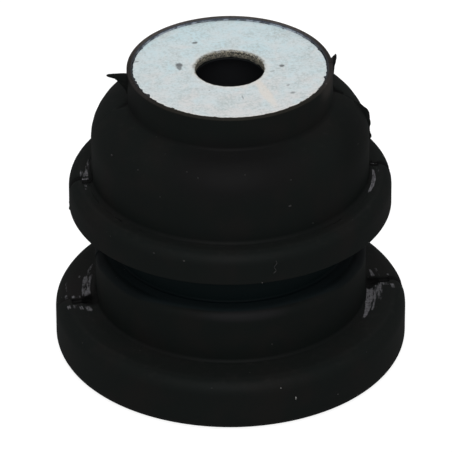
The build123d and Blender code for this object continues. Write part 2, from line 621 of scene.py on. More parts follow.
        # Spots from tints: painted highlights, painted shade, a painted lit band and a lighter brownish
        # spot
        for tint in self.tints:
            off = nodes.vector("SUBTRACT", place, tint.middle)
            off = nodes.vector("LENGTH", nodes.vector("DIVIDE", off, tint.size))
            colour = nodes.blend(nodes.remap(off, 1.0, 0.3, 0.0, tint.strength), colour, tint.shade)
        # Painted shade and painted light in the ring groove
        recess = nodes.blend(ledge, self.groove_painted_shade, self.groove_ledge_painted_light)
        far = nodes.blend(self.far_end(nodes), self.groove_end_painted_shade, self.groove_far_end_painted_shade)
        recess = nodes.blend(ends, recess, far)
        recess = nodes.blend(self.rooted(nodes, (self.foot,)), recess, self.groove_foot_painted_shade)
        colour = nodes.blend(groove, colour, recess)
        # Painted light in the hollow
        colour = nodes.blend(well, colour, self.well_painted_light)
        # Painted light: lit and shaded copies of the rim's colour for its sides, back and front
        side = nodes.blend(lip, self.rim_side, self.lip_side)
        back = nodes.blend(lip, self.rim_back, self.lip_back)
        front = nodes.blend(lip, self.rim_front, self.lip_front)
        depth = nodes.parts[1]
        rim_wear_and_light = nodes.blend(nodes.remap(depth, 1.0, 7.5), side, back)
        rim_wear_and_light = nodes.blend(nodes.remap(depth, -3.5, -7.5), rim_wear_and_light, front)
        rim = nodes.times(rim, nodes.remap(pepper, 0.35, 0.65, 0.5, 1.0))
        colour = nodes.blend(rim, colour, rim_wear_and_light)
        # Painted highlight where the disc's edge meets the lip at the back
        torn = nodes.times(torn, nodes.remap(patchy, 0.42, 0.56, 0.2, 1.0))
        colour = nodes.blend(torn, colour, self.lip_back_glint)
        colour = nodes.blend(shaded_patches, colour, self.painted_shade_black)
        # Painted shade: the parting creases' trenches are coloured near black
        colour = nodes.blend(open_rubber, self.painted_shade_black, colour)
        # Painted highlight on the polished patches, whose roughness is also lowered below
        colour = nodes.blend(glinting, colour, self.polished_glint)
        nodes.feed(shader.inputs["Base Color"], colour)

        smoothest = self.roughness - self.roughness_spread / 2
        rough = nodes.plus(smoothest, nodes.times(patchy, self.roughness_spread))
        rough = nodes.minus(rough, nodes.times(glinting, self.glint_polish))
        rough = nodes.plus(rough, nodes.times(crease, self.crease_dulling))
        nodes.feed(shader.inputs["Roughness"], rough)
        shader.inputs["Specular IOR Level"].default_value = 0.0
        shader.inputs["Coat Weight"].default_value = self.sheen_weight
        shader.inputs["Coat Roughness"].default_value = self.sheen_roughness

        height = nodes.plus(nodes.times(pepper, 0.35), patchy)
        bump = nodes.bump(height, self.bump_strength, self.bump_depth)
        for name in ("Normal", "Coat Normal"):
            nodes.feed(shader.inputs[name], bump)
        return material


@dataclass(frozen=True)
class DiscMark:
    """A small mark on the disc's face: its place, half sizes in millimetres and turn in degrees."""

    x: float
    y: float
    half_length: float
    half_width: float
    turn: float = 0.0
    strength: float = 0.8


@dataclass(frozen=True)
class ZincFinish:
    """Dull zinc plate on punched sheet steel, with a cloudy face and a rough, rusty hole."""

    blue: Point = (0.545, 0.675, 0.715)
    pink: Point = (0.64, 0.645, 0.645)
    dull: Point = (0.39, 0.45, 0.45)
    pit: Point = (0.05, 0.055, 0.06)
    cream: Point = (0.72, 0.66, 0.60)
    rust: Point = (0.31, 0.285, 0.22)
    hole_dark: Point = (0.02, 0.02, 0.018)
    smoothest: float = 0.28
    crystal_roughness: float = 0.18
    rust_roughness: float = 0.35
    bump_strength: float = 0.5
    bump_depth: float = 0.03
    hole_radius: float = 3.4
    edge_radius: float = 9.6
    top: float = 31.2
    pits: tuple[DiscMark, ...] = (
        DiscMark(-4.92, 1.2, 0.44, 0.36, 75, 0.85),
        DiscMark(-4.88, 0.72, 0.5, 0.28, 84, 0.7),
        DiscMark(-2.9, 5.4, 0.3, 0.2, 10),
        DiscMark(5.15, -0.06, 0.28, 0.24, 20),
        DiscMark(5.55, -5.35, 0.26, 0.2, 25, 0.5),
        DiscMark(5.35, -3.85, 0.2, 0.14, 60, 0.45),
        DiscMark(0.65, -5.7, 0.4, 0.09, 95, 0.5),
        DiscMark(-8.95, 2.35, 0.28, 0.1, 0, 0.6),
        DiscMark(4.1, -1.0, 0.25, 0.12, 20, 0.35),
    )
    smear: DiscMark = DiscMark(3.0, -5.1, 3.0, 0.55, -77, 0.6)

    def mark(self, nodes: Nodes, mark: DiscMark, place: Value) -> Socket:
        """One mark as an uneven oval.

        Args:
            nodes: the material's nodes.
            mark: the mark.
            place: the point on the disc, in millimetres.

        Returns:
            The mark's strength, from 0 to its own strength.
        """
        turn, length, width = radians(mark.turn), mark.half_length, mark.half_width
        off = nodes.vector("SUBTRACT", place, (mark.x, mark.y, self.top))
        along = nodes.vector("DOT_PRODUCT", off, (cos(turn) / length, sin(turn) / length, 0.0))
        across = nodes.vector("DOT_PRODUCT", off, (-sin(turn) / width, cos(turn) / width, 0.0))
        return nodes.times(nodes.remap(nodes.reach(along, across), 1.25, 0.55), mark.strength)

    def material(self) -> Material:
        """Build the material.

        Returns:
            The plated steel material.
        """
        material, nodes, shader = new_material("zinc_plate")
        place = nodes.place
        cloud = nodes.grain(place, 0.42, 3.0, 0.55, 0.4)
        hue = nodes.grain(nodes.vector("ADD", place, (40.0, 0.0, 0.0)), 0.55, 5.0, 0.62, 0.6)
        flecks = nodes.grain(place, 4.6, 3.0, 0.7)
        crystal = nodes.grain(place, 2.6, 5.0, 0.72)
        fine = nodes.grain(place, 9.0, 2.0, 0.6)
        shake = nodes.add("ShaderNodeTexNoise", {"Vector": place, "Scale": 2.2, "Detail": 3.0})
        shake = nodes.vector("SUBTRACT", shake.outputs["Color"], (0.5, 0.5, 0.5))
        shaken = nodes.vector("ADD", place, nodes.vector("SCALE", shake, scale=0.35))
        pits: Value = 0.0
        for mark in self.pits:
            pits = nodes.largest(pits, self.mark(nodes, mark, shaken))
        few = nodes.times(nodes.remap(nodes.grain(place, 0.5, 1.0), 0.54, 0.62), 0.4)
        pits = nodes.largest(pits, nodes.times(nodes.scatter(place, 0.8, 0.10, 0.04), few))
        x, y, z = nodes.split(shaken)
        radius = nodes.reach(x, y)
        hole, outer = self.hole_radius, self.edge_radius
        wall = nodes.times(nodes.remap(radius, hole + 0.2, hole + 0.06),
                           nodes.remap(z, self.top + 0.06, self.top - 0.06))
        rim = nodes.times(nodes.remap(radius, hole + 0.9, hole + 0.1), 0.3)
        # Painted highlight: a pale cream band on the disc's edge, on the front only
        edge = nodes.times(nodes.remap(radius, outer - 0.35, outer - 0.1),
                           nodes.remap(y, -2.0, -7.0, 0.0, 0.45))
        burr = nodes.times(nodes.remap(radius, hole + 0.42, hole + 0.12), nodes.remap(y, -0.5, 1.6))
        wall = nodes.largest(wall, nodes.times(burr, nodes.remap(crystal, 0.3, 0.6, 0.45, 1.0)))

        tone = nodes.math("MULTIPLY_ADD", crystal, 0.45, nodes.times(cloud, 0.3))
        tone = nodes.math("MULTIPLY_ADD", flecks, 0.5, tone)
        hue = nodes.math("MULTIPLY_ADD", y, -0.018, hue)
        colour = nodes.blend(nodes.remap(hue, 0.28, 0.72, smooth=False), self.blue, self.pink)
        colour = nodes.blend(nodes.times(nodes.remap(tone, 0.7, 0.45), 0.8), colour, self.dull)
        colour = nodes.blend(self.mark(nodes, self.smear, shaken), colour, self.cream)
        # Cream round the hole, and the painted highlight on the front edge
        colour = nodes.blend(nodes.largest(rim, edge), colour, self.cream)
        colour = nodes.blend(pits, colour, self.pit)
        stain = nodes.remap(nodes.grain(place, 5.5, 3.0, 0.7), 0.40, 0.64)
        rusty = nodes.blend(stain, self.hole_dark, self.rust)
        # Darker towards the bottom of the hole's wall
        rusty = nodes.blend(nodes.remap(z, self.top - 0.3, self.top - 0.7, 0.0, 0.6), rusty, self.hole_dark)
        colour = nodes.blend(wall, colour, rusty)
        nodes.feed(shader.inputs["Base Color"], colour)
        bare = nodes.minus(1.0, nodes.largest(wall, nodes.times(pits, 0.6)))
        nodes.feed(shader.inputs["Metallic"], bare)
        rough = nodes.plus(self.smoothest, nodes.times(crystal, self.crystal_roughness))
        rough = nodes.plus(rough, nodes.times(wall, self.rust_roughness))
        nodes.feed(shader.inputs["Roughness"], rough)
        height = nodes.plus(nodes.times(crystal, 0.6), nodes.times(fine, 0.3))
        height = nodes.minus(height, pits)
        bump = nodes.bump(height, self.bump_strength, self.bump_depth)
        nodes.feed(shader.inputs["Normal"], bump)
        return material


@dataclass(frozen=True)
class DustFinish:
    """Pale shop dust and lint."""

    name: str = "pale_dust"
    light: Point = (0.22, 0.215, 0.21)
    dark: Point = (0.07, 0.065, 0.065)
    roughness: float = 0.85
    gloss: float = 0.2

    def material(self) -> Material:
        """Build the material.

        Returns:
            The dust material.
        """
        material, nodes, shader = new_material(self.name)
        share = nodes.remap(nodes.grain(nodes.place, 0.8, 2.0), 0.4, 0.6)
        nodes.feed(shader.inputs["Base Color"], nodes.blend(share, self.dark, self.light))
        shader.inputs["Roughness"].default_value = self.roughness
        shader.inputs["Specular IOR Level"].default_value = self.gloss
        return material


@dataclass
class Corner:
    """A corner of a turned section, in millimetres, and what the mould left on the surface there.

    ridge and trench are the height of the parting ridge and the depth of the crease it stands in,
    width is the crease's half width, wave is the share of the slow waviness, and ragged and lift
    are how far a torn edge wanders outwards and upwards. right and left are how far the parting
    line lies behind the XZ plane on each side, and left_share is how strong it is on the left.
    """

    radius: float
    height: float
    rounding: float = 0.0
    ridge: float = 0.0
    trench: float = 0.0
    width: float = 0.3
    wave: float = 1.0
    ragged: float = 0.0
    lift: float = 0.0
    right: float = 0.0
    left: float = 0.0
    left_share: float = 1.0


# A corner's marks: the shares are plain numbers, and the others are lengths
SHARES = ("wave", "left_share")
MARKS = ("ridge", "trench", "width", "ragged", "lift", "right", "left", *SHARES)


@dataclass
class Section:
    """A closed section beside the axis, with rounded corners, listed anticlockwise."""

    corners: list[Corner]
    longest_step: float = 0.7
    arc_step: float = 9.0
    edge_step: float = 0.05

    def rounded(self, index: int) -> list[Vector]:
        """The points that round one corner.

        Args:
            index: the corner's place in the list.

        Returns:
            The points of its arc, or the corner itself where it stays sharp.
        """
        count = len(self.corners)
        before, here, after = (self.corners[(index + step) % count] for step in (-1, 0, 1))
        point = Vector((here.radius, here.height))
        way_in = (point - Vector((before.radius, before.height))).normalized()
        way_out = (Vector((after.radius, after.height)) - point).normalized()
        turn = way_in.angle_signed(way_out, 0.0)
        if here.rounding <= 0 or abs(turn) < STRAIGHT:
            return [point]
        setback = here.rounding * tan(abs(turn) / 2)
        start = point - setback * way_in
        inward = Vector((way_in.y, -way_in.x)) * (1 if turn > 0 else -1)
        centre = start + inward * here.rounding
        steps = max(4, ceil(abs(turn) / radians(self.arc_step)))
        spoke = start - centre
        return [centre + Matrix.Rotation(-turn * i / steps, 2) @ spoke for i in range(steps + 1)]

    def points(self) -> list[tuple[Vector, dict[str, float]]]:
        """Every point of the section, with the marks it carries.

        Returns:
            Pairs of a point in millimetres and its marks by name.
        """
        arcs = [self.rounded(i) for i in range(len(self.corners))]
        found = []
        for i, corner in enumerate(self.corners):
            following = self.corners[(i + 1) % len(self.corners)]
            marks = {name: getattr(corner, name) for name in MARKS}
            found += [(point, marks) for point in arcs[i]]
            start, end = arcs[i][-1], arcs[(i + 1) % len(arcs)][0]
            length = (end - start).length
            if length < 3 * self.edge_step:
                continue
            inner = length - 2 * self.edge_step
            steps = max(1, ceil(inner / self.longest_step))
            for step in range(steps + 1):
                share = (self.edge_step + inner * step / steps) / length
                mixed = {n: marks[n] * (1 - share) + getattr(following, n) * share for n in MARKS}
                found.append((start.lerp(end, share), mixed))
        return found

    def mesh(self, name: str) -> Mesh:
        """The section as a loop of edges in the XZ plane, in metres.

        Args:
            name: the mesh's name.

        Returns:
            The mesh, with a point attribute for each mark.
        """
        points = self.points()
        mesh = bpy.data.meshes.new(name)
        edges = [(i, (i + 1) % len(points)) for i in range(len(points))]
        mesh.from_pydata([(p.x * MM, 0, p.y * MM) for p, _ in points], edges, [])
        for mark in MARKS:
            unit = 1.0 if mark in SHARES else MM
            attribute = mesh.attributes.new(mark, "FLOAT", "POINT")
            attribute.data.foreach_set("value", [marks[mark] * unit for _, marks in points])
        return mesh


def open_tree(name: str, inputs: dict[str, str],
              output: str) -> tuple[GeometryTree, Nodes, Sequence[Socket]]:
    """Start a geometry tree.

    Args:
        name: the tree's name.
        inputs: the kind of each input, by its name.
        output: the output's name.

    Returns:
        The tree, its nodes and what its inputs give.
    """
    tree = bpy.data.node_groups.new(name, "GeometryNodeTree")
    for title, kind in inputs.items():
        tree.interface.new_socket(name=title, in_out="INPUT", socket_type="NodeSocket" + kind)
    tree.interface.new_socket(name=output, in_out="OUTPUT", socket_type="NodeSocketGeometry")
    nodes = Nodes(tree)
    return tree, nodes, nodes.add("NodeGroupInput").outputs


def close_tree(nodes: Nodes, geometry: Value, finish: Value) -> None:
    """End a geometry tree with one plain mesh in its finish.

    Args:
        nodes: the tree's nodes.
        geometry: what it has made.
        finish: the material.
    """
    whole = nodes.add("GeometryNodeRealizeInstances", {"Geometry": geometry})
    inputs = {"Geometry": whole.outputs[0], "Material": finish}
    dressed = nodes.add("GeometryNodeSetMaterial", inputs)
    nodes.add("NodeGroupOutput", {0: dressed.outputs[0]})


def grow(carrier: Piece, tree: GeometryTree, inputs: dict[str, Value]) -> None:
    """Run a geometry tree on an object and keep the result as its plain mesh.

    Args:
        carrier: the object whose mesh goes in.
        tree: the geometry tree.
        inputs: the tree's inputs by name.
    """
    modifier = carrier.modifiers.new("grow", "NODES")
    modifier.node_group = tree
    for item in tree.interface.items_tree:
        if item.item_type == "SOCKET" and item.in_out == "INPUT" and item.name in inputs:
            modifier[item.identifier] = inputs[item.name]
    depsgraph = bpy.context.evaluated_depsgraph_get()
    mesh = bpy.data.meshes.new_from_object(carrier.evaluated_get(depsgraph), depsgraph=depsgraph)
    carrier.modifiers.remove(modifier)
    carrier.data = mesh
    mesh.name = carrier.name


# How far the parting line sways, in metres, what share of its ridge breaks off and of its crease
# frays, and how fine each of these is
LINE_SWAY, SWAY_FINENESS = 0.06 * MM, 0.6
RIDGE_BREAKS, BREAK_FINENESS = 0.55, 0.9
CREASE_FRAYS, FRAY_FINENESS = 0.3, 1.1
THINNEST_CREASE = 0.05 * MM


def sweep_tree() -> GeometryTree:
    """A geometry tree that turns a section about the Z axis and adds the mould's marks.

    Returns:
        The tree, with its sizes as named inputs.
    """
    tree, nodes, given = open_tree("turned_section", {
        "Section": "Geometry", "Columns": "Int", "Parting Pull": "Float", "Ridge Width": "Float",
        "Wave Height": "Float", "Wave Fineness": "Float", "Tear Fineness": "Float", "Seed": "Int",
        "Finish": "Material",
    }, "Turned")
    section = given["Section"]
    count = nodes.add("GeometryNodeAttributeDomainSize", {0: section}).outputs["Point Count"]
    rows = nodes.plus(count, 1)
    grid = nodes.add("GeometryNodeMeshGrid", {
        "Size X": 1.0, "Size Y": 1.0,
        "Vertices X": nodes.plus(given["Columns"], 1), "Vertices Y": rows,
    })
    index = nodes.add("GeometryNodeInputIndex").outputs[0]
    column = nodes.math("FLOOR", nodes.math("DIVIDE", nodes.plus(index, 0.5), rows))
    row = nodes.minus(index, nodes.times(column, rows))

    def sample(value: Value, kind: str, shift: Value = 0) -> Socket:
        """Read a value of the section at this row, shifted round the loop."""
        place = nodes.math("FLOORED_MODULO", nodes.plus(row, shift), count)
        place = nodes.math("ROUND", place)
        inputs = {"Geometry": section, "Value": value, "Index": place}
        return nodes.add("GeometryNodeSampleIndex", inputs, data_type=kind, domain="POINT").outputs[0]

    position = nodes.add("GeometryNodeInputPosition").outputs[0]
    radius, _, height = nodes.split(sample(position, "FLOAT_VECTOR"))
    way = nodes.vector("NORMALIZE", nodes.vector(
        "SUBTRACT", sample(position, "FLOAT_VECTOR", 1), sample(position, "FLOAT_VECTOR", -1)))
    outwards, _, upwards = nodes.split(way)
    marks = {
        name: sample(nodes.add("GeometryNodeInputNamedAttribute", {"Name": name}).outputs[0], "FLOAT")
        for name in MARKS
    }

    step = nodes.math("ROUND", nodes.math("FLOORED_MODULO", column, given["Columns"]))
    turn = nodes.math("DIVIDE", nodes.times(step, 2 * pi), given["Columns"])
    pull = nodes.times(nodes.math("SINE", nodes.times(turn, 2.0)),
                       nodes.times(given["Parting Pull"], 0.5))
    angle = nodes.minus(turn, pull)
    cosine, sine = nodes.math("COSINE", angle), nodes.math("SINE", angle)
    plain = nodes.join(nodes.times(radius, cosine), nodes.times(radius, sine), height)
    shift = nodes.join(given["Seed"], nodes.times(given["Seed"], 0.7))
    seeded = nodes.vector("ADD", nodes.vector("SCALE", plain, scale=1 / MM), shift)

    def uneven(fineness: Value, detail: float) -> Socket:
        """Noise from about -1 to 1 at this point."""
        inputs = {"Vector": seeded, "Scale": fineness, "Detail": detail}
        value = nodes.add("ShaderNodeTexNoise", inputs).outputs[0]
        return nodes.times(nodes.minus(value, 0.5), 3.0)

    def hill(distance: Value, width: Value) -> Socket:
        """A smooth hill, 1 in the middle and near 0 past its width."""
        ratio = nodes.math("DIVIDE", distance, width)
        return nodes.math("EXPONENT", nodes.times(nodes.times(ratio, ratio), -1.0))

    lateral = nodes.times(radius, sine)
    broken = nodes.plus(1.0, nodes.times(uneven(BREAK_FINENESS, 3.0), RIDGE_BREAKS))
    sway = nodes.times(uneven(SWAY_FINENESS, 2.0), LINE_SWAY)
    lateral = nodes.plus(lateral, sway)
    lateral = nodes.minus(lateral, nodes.remap(cosine, -0.2, 0.2, marks["left"], marks["right"]))
    share = nodes.remap(cosine, -0.2, 0.2, marks["left_share"], 1.0)
    ridge = nodes.times(nodes.times(marks["ridge"], broken),
                        nodes.times(hill(lateral, given["Ridge Width"]), share))
    frayed = nodes.plus(1.0, nodes.times(uneven(FRAY_FINENESS, 3.0), CREASE_FRAYS))
    width = nodes.times(nodes.largest(marks["width"], THINNEST_CREASE), frayed)
    fold = nodes.times(hill(lateral, width), share)
    trench = nodes.times(marks["trench"], fold)
    wave = nodes.times(nodes.times(marks["wave"], given["Wave Height"]),
                       uneven(given["Wave Fineness"], 2.0))
    out = nodes.plus(nodes.minus(ridge, trench), wave)
    torn = uneven(given["Tear Fineness"], 4.0)
    reach = nodes.plus(nodes.times(upwards, out), nodes.times(marks["ragged"], torn))
    rise = nodes.minus(nodes.times(marks["lift"], torn), nodes.times(outwards, out))
    reached = nodes.plus(radius, reach)
    moved = nodes.join(nodes.times(reached, cosine), nodes.times(reached, sine),
                       nodes.plus(height, rise))
    shaped = nodes.add("GeometryNodeSetPosition", {"Geometry": grid.outputs[0], "Position": moved})
    # How deep a point lies in a cut crease, kept as an attribute where the rubber paints shade
    cut = nodes.times(nodes.remap(fold, 0.22, 0.62), nodes.remap(marks["trench"], 0.02 * MM, 0.2 * MM))
    cut = nodes.times(cut, nodes.remap(nodes.minus(ridge, trench), 0.0, -0.08 * MM))
    marked = nodes.add("GeometryNodeStoreNamedAttribute", {
        "Geometry": shaped.outputs[0], "Name": "crease", "Value": cut,
    }, data_type="FLOAT", domain="POINT")
    closed = nodes.add("GeometryNodeMergeByDistance", {"Geometry": marked.outputs[0], "Distance": WELD})
    smooth = nodes.add("GeometryNodeSetShadeSmooth", {"Geometry": closed.outputs[0]})
    close_tree(nodes, smooth.outputs[0], given["Finish"])
    return tree


def grain_tree() -> GeometryTree:
    """A geometry tree that strews small grains over the upward faces of a surface.

    Returns:
        The tree, with its sizes as named inputs.
    """
    tree, nodes, given = open_tree("strewn_grains", {
        "Surface": "Geometry", "Grains Per Square Metre": "Float", "Smallest Grain": "Float",
        "Largest Grain": "Float", "Seed": "Int", "Finish": "Material",
    }, "Grains")
    upwards = nodes.split(nodes.add("GeometryNodeInputNormal").outputs[0])[2]
    density = nodes.times(nodes.remap(upwards, -0.1, 0.8), given["Grains Per Square Metre"])
    spread = nodes.add("GeometryNodeDistributePointsOnFaces", {
        "Mesh": given["Surface"], "Density": density, "Seed": given["Seed"],
    })
    ball = nodes.add("GeometryNodeMeshIcoSphere", {"Radius": 1.0, "Subdivisions": 1})
    size = nodes.add("FunctionNodeRandomValue", {
        2: given["Smallest Grain"], 3: given["Largest Grain"], "Seed": given["Seed"],
    }, data_type="FLOAT").outputs[1]
    stretch = nodes.add("FunctionNodeRandomValue", {
        0: (0.6, 0.6, 0.35), 1: (1.6, 1.0, 0.6), "Seed": nodes.plus(given["Seed"], 5),
    }, data_type="FLOAT_VECTOR").outputs[0]
    placed = nodes.add("GeometryNodeInstanceOnPoints", {
        "Points": spread.outputs["Points"], "Instance": ball.outputs["Mesh"],
        "Rotation": spread.outputs["Rotation"], "Scale": nodes.vector("SCALE", stretch, scale=size),
    })
    close_tree(nodes, placed.outputs[0], given["Finish"])
    return tree


def new_piece(name: str, mesh: Mesh) -> Piece:
    """Put a mesh in the scene as a piece at the origin.

    Args:
        name: the piece's name.
        mesh: its mesh, in metres.

    Returns:
        The object.
    """
    piece = bpy.data.objects.new(name, mesh)
    bpy.context.scene.collection.objects.link(piece)
    return piece


def report(piece: Piece) -> None:
    """Log what a finished piece holds."""
    log.info("%s: %d faces", piece.name, len(piece.data.polygons))


@dataclass
class TurnedPiece:
    """Something turned about the damper's axis, and how fine and uneven its surface is."""

    name: str
    slot: str
    section: Section
    columns: int = 320
    parting_pull: float = 0.9
    ridge_width: float = 0.11
    wave_height: float = 0.0
    wave_fineness: float = 0.12
    tear_fineness: float = 2.5
    seed: int = 3
    stands_for: tuple[str, ...] = ()

    def build(self, tree: GeometryTree, finish: Material) -> Piece:
        """Turn the section and seat the piece on the damper.

        Args:
            tree: the tree that turns a section.
            finish: the piece's material.

        Returns:
            The finished piece.
        """
        piece = new_piece(self.name, self.section.mesh(self.name))
        grow(piece, tree, {
            "Columns": self.columns,
            "Parting Pull": self.parting_pull,
            "Ridge Width": self.ridge_width * MM,
            "Wave Height": self.wave_height * MM,
            "Wave Fineness": self.wave_fineness,
            "Tear Fineness": self.tear_fineness,
            "Seed": self.seed,
            "Finish": finish,
        })
        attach(piece, BODY)
        if self.stands_for:
            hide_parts(*self.stands_for)
        report(piece)
        return piece


@dataclass
class MouldedBody:
    """The rubber body's sizes, from the base flange up to the rim round the disc."""

    base_radius: float = 17.5
    base_thickness: float = 5.6
    collar_radius: float = 13.5
    collar_top: float = 11.3
    groove_radius: float = 11.5
    flange_radius: float = 16.0
    flange_bottom: float = 16.1
    flange_top: float = 19.4
    dome_radius: float = 13.75
    dome_shoulder: float = 26.086
    neck_radius: float = 10.15
    neck_foot: float = 28.0
    rim_top: float = 31.4
    plate_radius: float = 9.6
    plate_seat: float = 30.4
    well_top_radius: float = 6.5
    well_mouth_radius: float = 7.562
    well_mouth_round: float = 0.8
    base_foot_round: float = 1.3
    base_top_round: float = 1.5
    collar_shoulder_round: float = 1.0
    groove_corner_round: float = 0.3
    flange_lip_round: float = 0.15
    flange_top_round: float = 1.25
    dome_shoulder_round: float = 4.4
    root_round: float = 0.45
    rim_outer_round: float = 0.15
    rim_inner_round: float = 0.28
    slope_run: float = 1.2
    slope_drop: float = 0.638

    def ledge(self, wall: float, edge: float, height: float, line: dict[str, float],
              root: dict[str, float]) -> list[Corner]:
        """The marks across a flange's top, from its outer edge to the foot of the wall.

        Args:
            wall: the radius of the wall that stands on the flange.
            edge: the radius where the flat part of the flange ends.
            height: the flange's top.
            line: the parting line's marks on the flat.
            root: the parting line's marks at the wall's foot.

        Returns:
            Corners for the flange's top and the wall's foot.
        """
        flat = edge - wall
        middle = {name: 0.5 * (line[name] + root[name]) for name in line}
        sides = {"right": root["right"], "left": root["left"]}
        return [
            Corner(edge, height, 0, **line),
            Corner(wall + 0.62 * flat, height, 0, **line),
            Corner(wall + 0.42 * flat, height, 0, **middle),
            Corner(wall, height, self.root_round, **root),
            Corner(wall, height + 1.1, 0, 0.05, 0.12, 0.2 + 0.2 * root["width"], **sides),
            Corner(wall, height + 2.4, 0, 0.06, 0.02, 0.3),
        ]

    def section(self) -> Section:
        """The moulded section with its parting marks.

        Returns:
            The section, from the hollow's mouth round the outside and back down the hollow.
        """
        base_line = {"ridge": 0.2, "trench": 0.26, "width": 0.46, "right": 0.28, "left": -0.34}
        base_root = {"ridge": 0.0, "trench": 0.36, "width": 1.1, "right": -0.17, "left": -0.17}
        base_ledge = self.ledge(
            self.collar_radius, self.base_radius - 1.55, self.base_thickness, base_line, base_root)
        flange_line = {"ridge": 0.2, "trench": 0.22, "width": 0.42, "right": -0.08, "left": -0.2}
        flange_root = {"ridge": 0.2, "trench": 0.2, "width": 0.42, "right": -0.03, "left": -0.2}
        flange_ledge = self.ledge(
            self.dome_radius, self.flange_radius - 1.3, self.flange_top, flange_line, flange_root)
        base, thickness = self.base_radius, self.base_thickness
        groove, corner = self.groove_radius, self.groove_corner_round
        flange, top = self.flange_radius, self.flange_top
        neck, foot = self.neck_radius, self.neck_foot
        return Section([
            Corner(self.well_mouth_radius, 0, self.well_mouth_round, wave=0),
            Corner(base - 1.6, 0, 0, wave=0),
            Corner(base, 0, self.base_foot_round, wave=0.4),
            Corner(base, 2.2, 0, 0.07, 0.02, 0.24),
            Corner(base, thickness, self.base_top_round, 0.12, 0.17, 0.42,
                   right=0.5, left=0.4, left_share=0.5),
            *base_ledge,
            Corner(self.collar_radius, self.collar_top, self.collar_shoulder_round, 0.08),
            Corner(groove, self.collar_top, corner, 0.04),
            Corner(groove, self.flange_bottom, corner, 0.04),
            Corner(flange, self.flange_bottom, self.flange_lip_round, 0.08),
            Corner(flange, top, self.flange_top_round, 0.12, 0.16, 0.38,
                   right=0.1, left=0.5, left_share=0.9),
            *flange_ledge,
            Corner(self.dome_radius, self.dome_shoulder, self.dome_shoulder_round, 0.08, 0.06, 0.25,
                   right=0.3, left_share=0.5),
            Corner(neck + self.slope_run, foot - self.slope_drop, 0, 0.06, 0.18, 0.28,
                   right=0.55, left_share=0.4),
            Corner(neck, foot, self.root_round, 0.04, 0.28, 0.5, right=0.6, left_share=0.6),
            Corner(neck, foot + 1.3, 0, 0.1, 0.06, 0.3, wave=0.6),
            Corner(neck, self.rim_top, self.rim_outer_round, 0.05, 0.04, 0.2, wave=0.6),
            Corner(self.plate_radius, self.rim_top, self.rim_inner_round, wave=0.3),
            Corner(self.plate_radius, self.plate_seat, 0, wave=0),
            Corner(self.well_top_radius, self.plate_seat, 0, wave=0),
        ])

    def build(self, tree: GeometryTree, finish: Material) -> Piece:
        """Turn the body.

        Args:
            tree: the tree that turns a section.
            finish: the rubber.

        Returns:
            The finished piece.
        """
        return TurnedPiece(
            "moulded_body", "rubber", self.section(), wave_height=0.028, stands_for=("rubber_body",),
        ).build(tree, finish)


@dataclass
class SteelDisc:
    """The punched steel disc and the rubber that crept over its edges."""

    radius: float = 9.6
    hole_radius: float = 3.4
    top: float = 31.2
    bottom: float = 30.4
    rim_top: float = 31.4
    punch_round: float = 0.12

    def build_disc(self, tree: GeometryTree, finish: Material) -> None:
        """Turn the disc.

        Args:
            tree: the tree that turns a section.
            finish: the zinc plate.
        """
        roll = 0.35
        section = Section([
            Corner(self.hole_radius, self.bottom, 0.04),
            Corner(self.radius, self.bottom, 0.04),
            Corner(self.radius, self.top, self.punch_round),
            Corner(self.hole_radius + roll, self.top, 0),
            Corner(self.hole_radius, self.top - 0.02, self.punch_round),
        ], longest_step=0.5)
        TurnedPiece(
            "zinc_disc", "plated_steel", section, columns=256, parting_pull=0.0, wave_height=0.006,
            wave_fineness=0.3, seed=11, stands_for=("top_plate",),
        ).build(tree, finish)

    def build_rim_film(self, tree: GeometryTree, finish: Material) -> None:
        """The thin torn lip of rubber that lines the rim and laps over the disc's outer edge.

        Args:
            tree: the tree that turns a section.
            finish: the rubber.
        """
        section = Section([
            Corner(self.radius, self.top - 0.03, 0, ragged=0.4, wave=0),
            Corner(self.radius + 0.3, self.top - 0.03, 0, wave=0),
            Corner(self.radius + 0.3, self.rim_top + 0.01, 0, wave=0),
            Corner(self.radius + 0.2, self.rim_top, 0, ragged=0.15, lift=0.05, wave=0),
            Corner(self.radius + 0.07, self.rim_top - 0.08, 0, ragged=0.35, lift=0.12, wave=0),
            Corner(self.radius - 0.01, self.top + 0.02, 0, ragged=0.4, wave=0),
        ])
        TurnedPiece(
            "rim_film", "rubber", section, columns=720, parting_pull=0.0, tear_fineness=1.8, seed=5,
        ).build(tree, finish)

    def build_hole_film(self, tree: GeometryTree, finish: Material) -> None:
        """The thin torn film of rubber at the lower edge of the screw hole.

        Args:
            tree: the tree that turns a section.
            finish: the rubber.
        """
        inner = self.hole_radius - 0.05
        section = Section([
            Corner(inner, self.bottom - 0.08, 0.02, wave=0),
            Corner(self.hole_radius + 1.1, self.bottom - 0.08, 0, ragged=0.3, wave=0),
            Corner(self.hole_radius + 1.1, self.bottom + 0.01, 0, ragged=0.3, wave=0),
            Corner(self.hole_radius + 0.02, self.bottom + 0.01, 0, wave=0),
            Corner(self.hole_radius + 0.02, self.bottom + 0.13, 0, lift=0.15, wave=0),
            Corner(inner, self.bottom + 0.1, 0, lift=0.15, wave=0),
        ])
        TurnedPiece(
            "hole_film", "rubber", section, columns=360, parting_pull=0.0, tear_fineness=1.4, seed=9,
        ).build(tree, finish)


